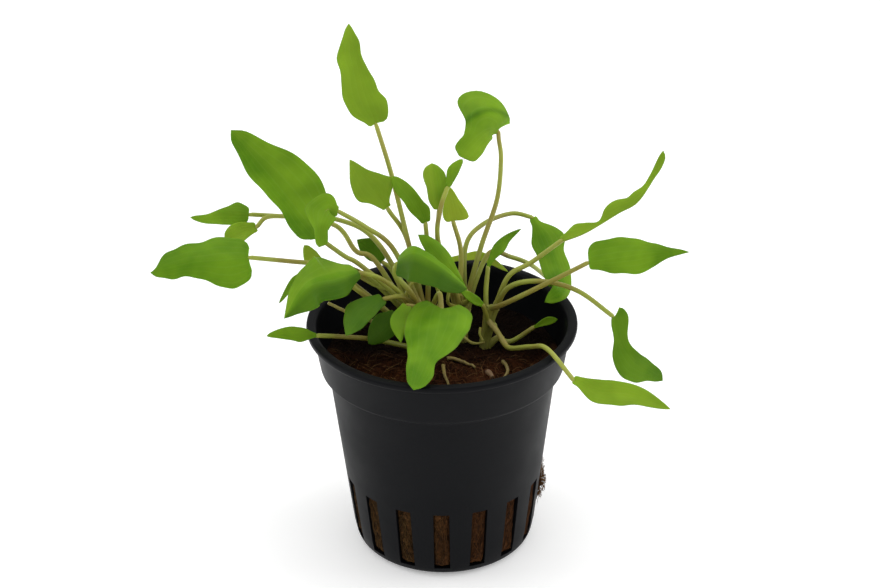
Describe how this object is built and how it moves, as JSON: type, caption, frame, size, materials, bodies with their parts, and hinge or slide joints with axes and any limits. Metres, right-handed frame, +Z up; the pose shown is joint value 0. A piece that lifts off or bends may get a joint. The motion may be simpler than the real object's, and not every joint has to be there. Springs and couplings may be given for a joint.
{
  "type": "potted cryptocoryne plant",
  "caption": "Young broad-leaved aquarium plant on thin stalks, rooted in mineral wool in a black slotted round plastic pot.",
  "frame": {"origin": "middle of the pot's underside, on the pot's axis", "axes": "+Z up along the pot's axis, -Y toward the plant's front, +X to the right seen from the front"},
  "size_m": [0.104, 0.0611, 0.104],
  "materials": {
    "pot_plastic": "moulded black plastic with a soft sheen",
    "wool": "damp brown mineral wool fibres",
    "leaf": "fresh green leaf, smooth with a soft sheen",
    "leaf_light": "yellow-green leaf with light coming through",
    "crown": "olive leaf sheaths round a short stem",
    "root": "pale brown bare root"
  },
  "bodies": {
    "root": {"pot": "pot_plastic", "mineral_wool": "wool", "crown_left": "crown", "crown_back": "crown", "crown_right": "crown", "leaf_tall": "leaf", "leaf_big_left": "leaf", "leaf_left_front": "leaf", "leaf_left_upper": "leaf", "leaf_left_folded": "leaf", "leaf_left_long": "leaf", "leaf_left_low": "leaf", "leaf_left_thin": "leaf", "leaf_left_lowest": "leaf", "leaf_left_small": "leaf", "leaf_front": "leaf", "leaf_front_left": "leaf", "leaf_centre": "leaf", "leaf_centre_back": "leaf", "leaf_kite": "leaf", "leaf_oblong": "leaf", "leaf_upper_middle": "leaf", "leaf_narrow": "leaf", "leaf_top_folded": "leaf", "leaf_yellow": "leaf_light", "leaf_dark_narrow": "leaf", "leaf_arched": "leaf", "leaf_right_wavy": "leaf", "leaf_right_pointed": "leaf", "leaf_right_hanging": "leaf", "leaf_right_low": "leaf", "leaf_young": "leaf", "leaf_inner_left": "leaf", "leaf_inner_yellow": "leaf_light", "leaf_back_yellow": "leaf_light", "leaf_inner_low": "leaf", "leaf_back_right": "leaf", "leaf_small_centre": "leaf", "root_middle": "root", "root_left": "root", "root_right": "root"}
  },
  "joints": []
}
